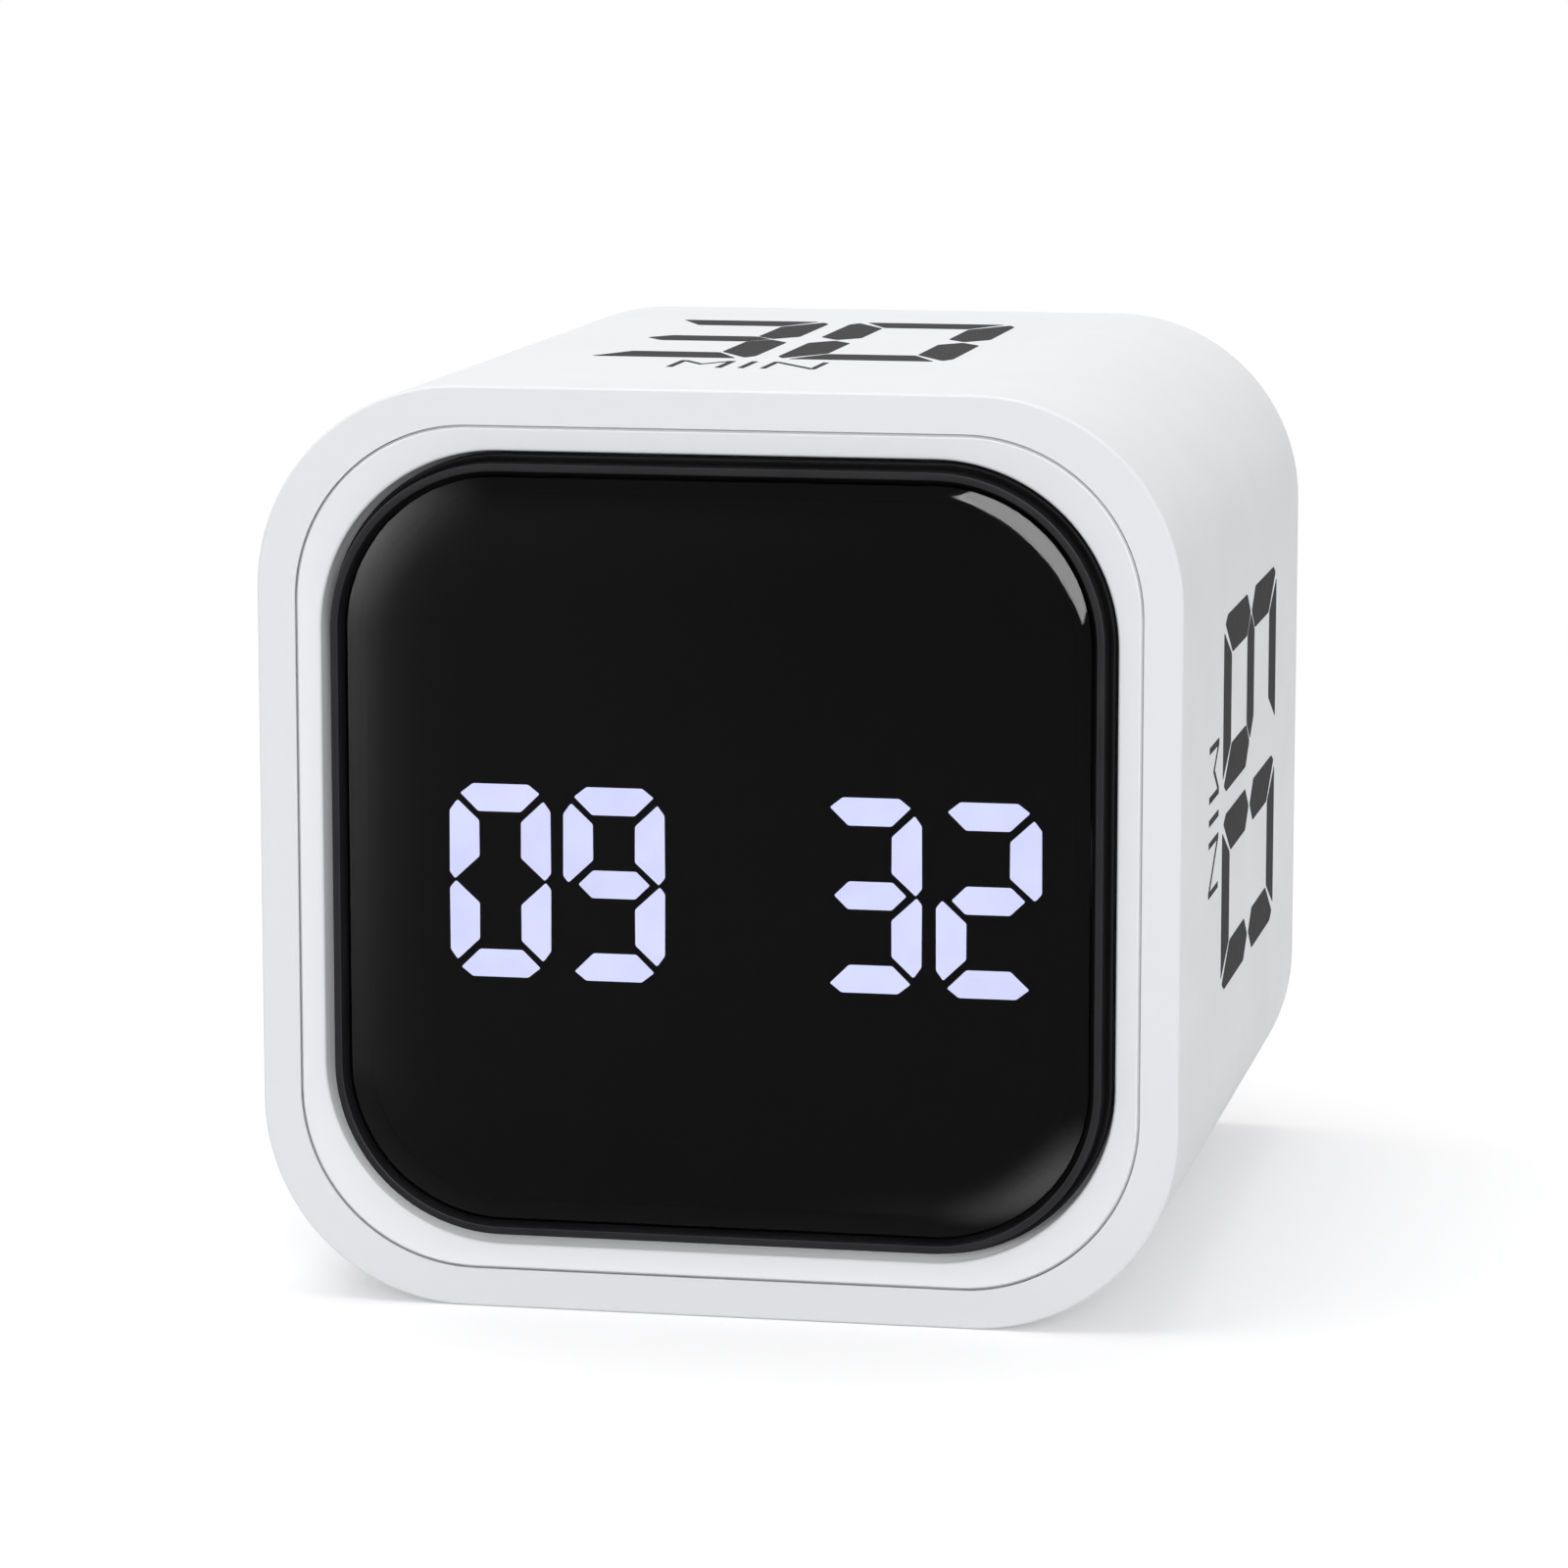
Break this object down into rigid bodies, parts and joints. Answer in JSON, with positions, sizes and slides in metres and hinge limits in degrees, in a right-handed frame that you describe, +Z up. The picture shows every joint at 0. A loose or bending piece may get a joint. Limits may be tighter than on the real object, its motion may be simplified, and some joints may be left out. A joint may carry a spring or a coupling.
{
  "type": "cube timer",
  "caption": "Rounded white cube timer with a domed black display, printed minutes on its side faces, rear push buttons, a sound slider and a charging socket.",
  "frame": {"origin": "middle of the flat underside", "axes": "+Z up, +X to the right as seen from the display, the display faces -Y"},
  "size_m": [0.06, 0.0662, 0.06],
  "materials": {
    "white_plastic": "satin white ABS with a fine moulded texture",
    "black_plastic": "semi-gloss black",
    "black_lens": "polished smoked acrylic, nearly opaque",
    "diffusing_film": "translucent grey film",
    "reflector_plastic": "white",
    "circuit_board": "green solder mask",
    "chip_resin": "moulded resin",
    "connector_plastic": "natural nylon",
    "plated_steel": "plated sheet",
    "zinc_screw": "zinc plated",
    "battery_foil": "silver pouch foil",
    "foam_tape": "soft foam",
    "ribbon_film": "flat ribbon",
    "red_insulation": "lead insulation",
    "black_insulation": "lead insulation",
    "gray_plastic": "grey ABS"
  },
  "bodies": {
    "case": {"battery_cell": "battery_foil", "battery_connector": "connector_plastic", "battery_lead_black": "black_insulation", "battery_lead_red": "red_insulation", "battery_tray": "gray_plastic", "bezel_ring": "black_plastic", "board_screw_1": "zinc_screw", "board_screw_2": "zinc_screw", "board_screw_3": "zinc_screw", "board_screw_4": "zinc_screw", "buzzer": "black_plastic", "charger_chip": "chip_resin", "cover_screw_1": "zinc_screw", "cover_screw_2": "zinc_screw", "cover_screw_3": "zinc_screw", "cover_screw_4": "zinc_screw", "diffuser_sheet": "diffusing_film", "digit_reflector": "reflector_plastic", "display_board": "circuit_board", "display_connector": "connector_plastic", "display_driver": "chip_resin", "display_lens": "black_lens", "display_ribbon": "ribbon_film", "display_screw_1": "zinc_screw", "display_screw_2": "zinc_screw", "display_screw_3": "zinc_screw", "display_screw_4": "zinc_screw", "foam_tape": "foam_tape", "front_frame": "white_plastic", "main_board": "circuit_board", "main_housing": "white_plastic", "microcontroller": "chip_resin", "rear_cover": "white_plastic", "ribbon_connector": "connector_plastic", "slide_switch": "plated_steel", "tact_switch_minute": "plated_steel", "tact_switch_second": "plated_steel", "tact_switch_start": "plated_steel", "tilt_sensor": "chip_resin", "tray_screw_left": "zinc_screw", "tray_screw_right": "zinc_screw", "usb_socket": "plated_steel", "vibration_motor": "plated_steel"},
    "minute_button": {"button_minute": "gray_plastic", "plunger_minute": "black_plastic"},
    "second_button": {"button_second": "gray_plastic", "plunger_second": "black_plastic"},
    "start_button": {"button_start": "gray_plastic", "plunger_start": "black_plastic"},
    "slider": {"sound_slider": "gray_plastic"}
  },
  "joints": [
    {"name": "minute_press", "type": "slide", "parent": "case", "child": "minute_button", "axis": [0, -1, 0], "range_m": [0, 0.0005], "stiffness_N_per_m": 3000},
    {"name": "second_press", "type": "slide", "parent": "case", "child": "second_button", "axis": [0, -1, 0], "range_m": [0, 0.0005], "stiffness_N_per_m": 3000},
    {"name": "start_press", "type": "slide", "parent": "case", "child": "start_button", "axis": [0, -1, 0], "range_m": [0, 0.0005], "stiffness_N_per_m": 3000},
    {"name": "sound_slide", "type": "slide", "parent": "case", "child": "slider", "axis": [1, 0, 0], "range_m": [-0.002, 0.002]}
  ]
}
